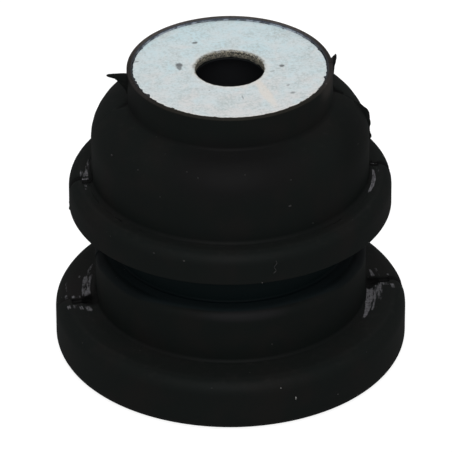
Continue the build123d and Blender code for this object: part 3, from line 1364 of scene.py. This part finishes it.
@dataclass
class FlashFin:
    """A thin torn fin of rubber in the parting plane.

    The outer edge is a chain of points, each given as reach past the wall and drop below the top,
    in millimetres. The fineness and share fields say how uneven its edge, faces and bend are.
    """

    name: str
    side: int
    wall: float
    top: float
    edge: list[tuple[float, float]]
    root_depth: float = 0.4
    root_thickness: float = 0.3
    tip_thickness: float = 0.07
    torn: float = 0.05
    bend: float = 0.12
    rows: int = 8
    step: float = 0.07
    seed: float = 0.0
    tear_fineness: float = 3.1
    fray_fineness: float = 9.0
    fray_share: float = 0.6
    thickness_fineness: float = 4.0
    thickness_share: float = 0.3
    bend_fineness: float = 0.9

    def uneven(self, point: Vector, fineness: float, shift: float = 0.0) -> float:
        """Noise at a point of the fin, from about -1 to 1."""
        return noise.noise(Vector((point.x * fineness, point.y * fineness, self.seed + shift)))

    def stations(self) -> list[Vector]:
        """The torn outer edge as closely set points.

        Returns:
            The points, as reach and drop.
        """
        found = []
        for start, end in zip(self.edge, self.edge[1:]):
            first, last = Vector(start), Vector(end)
            steps = max(1, ceil((last - first).length / self.step))
            across = Vector((last.y - first.y, first.x - last.x)).normalized()
            for i in range(steps):
                point = first.lerp(last, i / steps)
                tear = self.uneven(point, self.tear_fineness)
                fray = self.uneven(point, self.fray_fineness, 4)
                found.append(point + across * (tear + self.fray_share * fray) * self.torn)
        found.append(Vector(self.edge[-1]))
        return found

    def mesh(self) -> Mesh:
        """The fin as a closed lens of two sheets.

        Returns:
            The mesh, in metres.
        """
        edge = self.stations()
        root_reach = min(self.edge[0][0], self.edge[-1][0]) - self.root_depth
        first, last = self.edge[0][1], self.edge[-1][1]
        sheets: list[list[Point]] = [[], []]
        for i, outer in enumerate(edge):
            root = Vector((root_reach, first + (last - first) * i / (len(edge) - 1)))
            for row in range(self.rows + 1):
                share = row / self.rows
                point = root.lerp(outer, share)
                half = 0.5 * (self.root_thickness * (1 - share) + self.tip_thickness * share)
                half *= 1 + self.thickness_share * self.uneven(point, self.thickness_fineness, 9)
                sway = self.bend * share * self.uneven(point, self.bend_fineness, 2)
                x, z = self.side * (self.wall + point.x), self.top - point.y
                for sheet, y in zip(sheets, (sway - half, sway + half)):
                    sheet.append((x * MM, y * MM, z * MM))
        width, count = self.rows + 1, len(edge)
        offset = len(sheets[0])
        faces = []
        for i in range(count - 1):
            for row in range(self.rows):
                a, b = i * width + row, (i + 1) * width + row
                faces.append((a, a + 1, b + 1, b))
                faces.append((offset + a, offset + b, offset + b + 1, offset + a + 1))
        rim = [i * width for i in range(count)]
        rim += [(count - 1) * width + row for row in range(1, width)]
        rim += [i * width + self.rows for i in range(count - 2, -1, -1)]
        rim += [row for row in range(self.rows - 1, 0, -1)]
        for a, b in zip(rim, rim[1:] + rim[:1]):
            faces.append((a, b, offset + b, offset + a))
        mesh = bpy.data.meshes.new(self.name)
        mesh.from_pydata(sheets[0] + sheets[1], [], faces)
        return mesh

    def build(self, finish: Material) -> None:
        """Make the fin and seat it in the wall.

        Args:
            finish: the rubber.
        """
        mesh = self.mesh()
        point_outwards(mesh)
        mesh.materials.append(finish)
        mesh.shade_smooth()
        piece = new_piece(self.name, mesh)
        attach(piece, BODY)
        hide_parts("rubber_body")
        report(piece)


def point_outwards(mesh: Mesh) -> None:
    """Turn the faces of a closed mesh outwards.

    Args:
        mesh: the mesh, changed in place.
    """
    edit = bmesh.new()
    edit.from_mesh(mesh)
    bmesh.ops.recalc_face_normals(edit, faces=edit.faces)
    edit.to_mesh(mesh)
    edit.free()


class SpeckKind(Enum):
    """The shapes that the larger specks have: relative length, width and height."""

    GRAIN = (1.0, 0.8, 0.6)
    DROP = (1.0, 2.4, 0.5)
    FLAKE = (1.8, 1.0, 0.25)


@dataclass
class Speck:
    """A larger speck: its azimuth in degrees, and its radius, height and size in millimetres."""

    azimuth: float
    radius: float
    height: float
    size: float
    kind: SpeckKind = SpeckKind.GRAIN


@dataclass
class ShopDust:
    """The fine grains, larger specks and bit of lint that the rubber has picked up."""

    specks: list[Speck] = field(default_factory=lambda: [
        Speck(-112.5, 15.95, 18.49, 0.075),
        Speck(-85.0, 16.0, 16.2, 0.07),
        Speck(-74.7, 17.5, 3.21, 0.085, SpeckKind.DROP),
        Speck(-79.7, 17.39, 4.64, 0.06),
        Speck(-59.0, 17.5, 2.14, 0.045),
        Speck(-26.0, 10.0, 31.4, 0.07),
    ])
    faint_specks: list[Speck] = field(default_factory=lambda: [
        Speck(-71.1, 13.75, 22.97, 0.1, SpeckKind.FLAKE),
        Speck(-156.2, 13.31, 25.33, 0.12),
        Speck(-115.6, 12.53, 26.48, 0.08),
        Speck(-110.2, 12.81, 26.16, 0.09),
        Speck(-89.5, 12.51, 26.49, 0.08),
        Speck(-69.6, 13.21, 25.54, 0.08),
        Speck(-138.7, 13.24, 25.48, 0.08),
        Speck(-125.9, 13.73, 23.72, 0.08),
        Speck(-60.2, 13.75, 20.21, 0.07),
        Speck(-124.0, 15.9, 18.64, 0.09),
        Speck(-102.3, 17.22, 4.96, 0.08),
        Speck(-78.6, 13.49, 7.33, 0.07),
    ])
    lint: list[Point] = field(default_factory=lambda: [
        (-80.1, 15.98, 18.5), (-79.5, 16.02, 18.3), (-80.3, 16.03, 18.05), (-80.9, 16.03, 17.8),
        (-80.2, 16.03, 17.6), (-80.0, 16.03, 17.35), (-80.9, 16.02, 17.15),
    ])
    lint_radius: float = 0.022
    unevenness: float = 0.35
    fineness: float = 1.7
    seed: int = 7
    grains_per_square_metre: float = 45000.0
    smallest: float = 0.012
    largest: float = 0.036

    @staticmethod
    def place(azimuth: float, radius: float, height: float) -> Vector:
        """A point in metres from its azimuth in degrees, radius and height in millimetres."""
        turn = radians(azimuth)
        return Vector((radius * cos(turn), radius * sin(turn), height)) * MM

    def build_grains(self, body: Piece, finish: Material) -> None:
        """Strew the fine grains over the body.

        Args:
            body: the moulded body.
            finish: the dust.
        """
        piece = new_piece("dust_grains", body.data.copy())
        grow(piece, grain_tree(), {
            "Grains Per Square Metre": self.grains_per_square_metre,
            "Smallest Grain": self.smallest * MM,
            "Largest Grain": self.largest * MM,
            "Seed": self.seed,
            "Finish": finish,
        })
        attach(piece, BODY)
        report(piece)

    def build_specks(self, name: str, specks: list[Speck], body: Piece,
                     finish: Material) -> None:
        """Set larger specks on the body.

        Args:
            name: the piece's name.
            specks: the specks.
            body: the moulded body.
            finish: the dust.
        """
        surface = BVHTree.FromObject(body, bpy.context.evaluated_depsgraph_get())
        edit = bmesh.new()
        for i, speck in enumerate(specks):
            aim = self.place(speck.azimuth, speck.radius, speck.height)
            spot, normal, _, _ = surface.find_nearest(aim)
            own = Vector((i * 3.0, 0, 0))
            turn = normal.to_track_quat("Z", "Y").to_matrix().to_4x4()
            shape = Matrix.Diagonal((*[side * speck.size * MM for side in speck.kind.value], 1))
            made = bmesh.ops.create_icosphere(edit, subdivisions=2, radius=1.0)
            for vertex in made["verts"]:
                bump = 1 + self.unevenness * noise.noise(vertex.co * self.fineness + own)
                vertex.co = Matrix.Translation(spot) @ turn @ shape @ (vertex.co * bump)
        mesh = bpy.data.meshes.new(name)
        edit.to_mesh(mesh)
        edit.free()
        mesh.materials.append(finish)
        mesh.shade_smooth()
        piece = new_piece(name, mesh)
        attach(piece, BODY)
        report(piece)

    def build_lint(self, finish: Material) -> None:
        """Lay the bit of lint on the upper flange.

        Args:
            finish: the dust.
        """
        curve = bpy.data.curves.new("lint", "CURVE")
        curve.dimensions = "3D"
        curve.bevel_depth = self.lint_radius * MM
        curve.bevel_resolution = 1
        curve.resolution_u = 6
        curve.use_fill_caps = True
        spline = curve.splines.new("NURBS")
        spline.points.add(len(self.lint) - 1)
        for point, spot in zip(spline.points, self.lint):
            point.co = (*self.place(*spot), 1)
        spline.order_u = 3
        spline.use_endpoint_u = True
        source = bpy.data.objects.new("lint_path", curve)
        bpy.context.scene.collection.objects.link(source)
        depsgraph = bpy.context.evaluated_depsgraph_get()
        mesh = bpy.data.meshes.new_from_object(source.evaluated_get(depsgraph))
        bpy.data.objects.remove(source)
        mesh.name = "lint"
        mesh.materials.clear()
        mesh.materials.append(finish)
        point_outwards(mesh)
        piece = new_piece("lint", mesh)
        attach(piece, BODY)
        report(piece)


@dataclass
class Lamp:
    """A soft lamp that shines at the damper: where it hangs, in degrees and metres, and its power."""

    name: str
    azimuth: float
    elevation: float
    distance: float
    width: float
    height: float
    power: float

    def build(self, target: Vector) -> None:
        """Hang the lamp and aim it.

        Args:
            target: the point that it shines at.
        """
        data = bpy.data.lights.new(self.name, "AREA")
        data.shape = "RECTANGLE"
        data.size, data.size_y, data.energy = self.width, self.height, self.power
        lamp = bpy.data.objects.new(self.name, data)
        bpy.context.scene.collection.objects.link(lamp)
        turn, tilt = radians(self.azimuth), radians(self.elevation)
        way = Vector((cos(turn) * cos(tilt), sin(turn) * cos(tilt), sin(tilt)))
        lamp.location = target + way * self.distance
        lamp.rotation_euler = way.to_track_quat("Z", "Y").to_euler()


@dataclass
class Studio:
    """The white table, the soft lamps and the camera.

    Angles are in degrees and lengths in metres, apart from the lens and its sensor, which are in
    millimetres.
    """

    eye_azimuth: float = -6.1
    eye_elevation: float = 31.42
    eye_distance: float = 0.657
    eye_roll: float = -0.23
    aim_height: float = 0.015
    aim_right: float = -0.00043
    aim_up: float = -0.00165
    focal_length: float = 526.5
    sensor_width: float = 36.0
    farthest: float = 20.0
    table_half: float = 3.0
    floor_glow: float = 0.86
    floor_tone: float = 0.3
    room_light: float = 0.4
    lamps: list[Lamp] = field(default_factory=lambda: [
        Lamp("key_softbox", -96.0, 47.0, 0.9, 0.6, 0.8, 6.0),
        Lamp("left_softbox", 165.0, 35.0, 0.9, 0.3, 0.5, 0.15),
        Lamp("right_softbox", 0.0, 35.0, 0.9, 0.3, 0.5, 0.15),
    ])

    def build_camera(self) -> None:
        """Stand the camera where the picture was taken from."""
        azimuth, elevation = radians(self.eye_azimuth), radians(self.eye_elevation)
        back = Vector((sin(azimuth) * cos(elevation), -cos(azimuth) * cos(elevation), sin(elevation)))
        right = Vector((cos(azimuth), sin(azimuth), 0))
        up = back.cross(right)
        middle = Vector((0, 0, self.aim_height))
        eye = middle + back * self.eye_distance
        aim = middle + right * self.aim_right + up * self.aim_up
        data = bpy.data.cameras.new("camera")
        data.lens, data.sensor_width = self.focal_length, self.sensor_width
        data.clip_end = self.farthest
        camera = bpy.data.objects.new("camera", data)
        bpy.context.scene.collection.objects.link(camera)
        look = (eye - aim).to_track_quat("Z", "Y").to_matrix().to_4x4()
        roll = Matrix.Rotation(radians(self.eye_roll), 4, "Z")
        camera.matrix_world = Matrix.Translation(eye) @ look @ roll
        bpy.context.scene.camera = camera

    @staticmethod
    def plain_rays(nodes: Nodes) -> Socket:
        """Whether a ray comes from the camera, a gloss or a clear surface, as 0 or 1."""
        path = nodes.add("ShaderNodeLightPath").outputs
        seen = nodes.largest(path["Is Camera Ray"], path["Is Glossy Ray"])
        return nodes.largest(seen, path["Is Transmission Ray"])

    def build_floor(self) -> None:
        """Lay the white table."""
        half = self.table_half
        corners = [(-half, -half, 0), (half, -half, 0), (half, half, 0), (-half, half, 0)]
        mesh = bpy.data.meshes.new("floor")
        mesh.from_pydata(corners, [], [(0, 1, 2, 3)])
        floor = new_piece("floor", mesh)
        material = bpy.data.materials.new("white_table")
        material.use_nodes = True
        material.node_tree.nodes.clear()
        nodes = Nodes(material.node_tree)
        tone = (self.floor_tone, self.floor_tone, self.floor_tone, 1)
        board = nodes.add("ShaderNodeBsdfDiffuse", {"Color": tone})
        glow = nodes.add("ShaderNodeEmission", {
            "Color": (1, 1, 1, 1), "Strength": nodes.times(self.plain_rays(nodes), self.floor_glow),
        })
        both = nodes.add("ShaderNodeAddShader", {0: board.outputs[0], 1: glow.outputs[0]})
        nodes.add("ShaderNodeOutputMaterial", {"Surface": both.outputs[0]})
        mesh.materials.append(material)

    def build_room(self) -> None:
        """Light the room: white where it is seen, softer where it lights."""
        scene = bpy.context.scene
        scene.view_settings.view_transform = "Standard"
        world = bpy.data.worlds.new("room")
        world.use_nodes = True
        world.node_tree.nodes.clear()
        nodes = Nodes(world.node_tree)
        strength = nodes.remap(self.plain_rays(nodes), 0.0, 1.0, self.room_light, 1.0, smooth=False)
        sky = nodes.add("ShaderNodeBackground", {"Color": (1, 1, 1, 1), "Strength": strength})
        nodes.add("ShaderNodeOutputWorld", {"Surface": sky.outputs[0]})
        scene.world = world

    def build(self) -> None:
        """Set up the whole studio."""
        self.build_camera()
        self.build_floor()
        self.build_room()
        for lamp in self.lamps:
            lamp.build(Vector((0, 0, self.aim_height)))


def flash_fins() -> Iterable[FlashFin]:
    """The fins that the mould left: on the neck's left, the rim's right and the dome's right.

    Returns:
        The fins, ready to build.
    """
    yield FlashFin(
        "neck_tongue", -1, 10.15, 31.4,
        [(0, 0.08), (0.6, 0.06), (1.31, 0.03), (1.76, 0.04), (1.96, 0.1), (2.02, 0.17), (1.97, 0.29),
         (1.85, 0.37), (1.61, 0.38), (1.36, 0.42), (1.19, 0.6), (1.01, 0.8), (0.71, 1.15), (0.22, 1.85),
         (0, 2.4)],
        seed=1.0, bend=0.1, torn=0.02,
    )
    yield FlashFin(
        "rim_spike", 1, 10.15, 31.4,
        [(-0.2, 0.1), (-0.1, -0.36), (0.13, -0.61), (0.33, -0.8), (0.41, -0.62), (0.4, -0.24),
         (0.34, 0.05), (0.28, 0.39), (0.21, 0.68), (0.19, 1.03), (0.14, 1.61), (0, 2.4)],
        seed=2.0, torn=0.015, bend=0.05,
    )
    yield FlashFin(
        "dome_web", 1, 13.75, 28.0,
        [(-1.4, 1.3), (-0.88, 1.58), (-0.42, 2.05), (-0.14, 2.27), (0.0, 2.5), (0.12, 2.82),
         (0.15, 3.1), (0.14, 3.44), (0.24, 3.8), (0.25, 4.08), (0.18, 4.42), (0.17, 4.76),
         (0.23, 5.08), (0.34, 5.3), (0.33, 5.58), (0.1, 5.8)],
        seed=3.0, torn=0.03, root_depth=0.3,
    )


def main() -> None:
    """Build the damper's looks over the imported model."""
    logging.basicConfig(level=logging.INFO, format="%(message)s")
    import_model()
    Studio().build()
    rubber, zinc, dust = (finish().material() for finish in (RubberFinish, ZincFinish, DustFinish))
    turning = sweep_tree()
    body = MouldedBody().build(turning, rubber)
    disc = SteelDisc()
    disc.build_disc(turning, zinc)
    disc.build_rim_film(turning, rubber)
    disc.build_hole_film(turning, rubber)
    for fin in flash_fins():
        fin.build(rubber)
    shop_dust = ShopDust()
    fine_dust = DustFinish("fine_dust", (0.10, 0.097, 0.095), (0.035, 0.033, 0.033)).material()
    faint_dust = DustFinish("faint_dust", (0.030, 0.029, 0.030), (0.018, 0.020, 0.019)).material()
    grey_lint = DustFinish("grey_lint", (0.060, 0.060, 0.060), (0.035, 0.035, 0.035)).material()
    shop_dust.build_grains(body, fine_dust)
    shop_dust.build_specks("dust_specks", shop_dust.specks, body, dust)
    shop_dust.build_specks("faint_specks", shop_dust.faint_specks, body, faint_dust)
    shop_dust.build_lint(grey_lint)


if __name__ == "__main__":
    main()
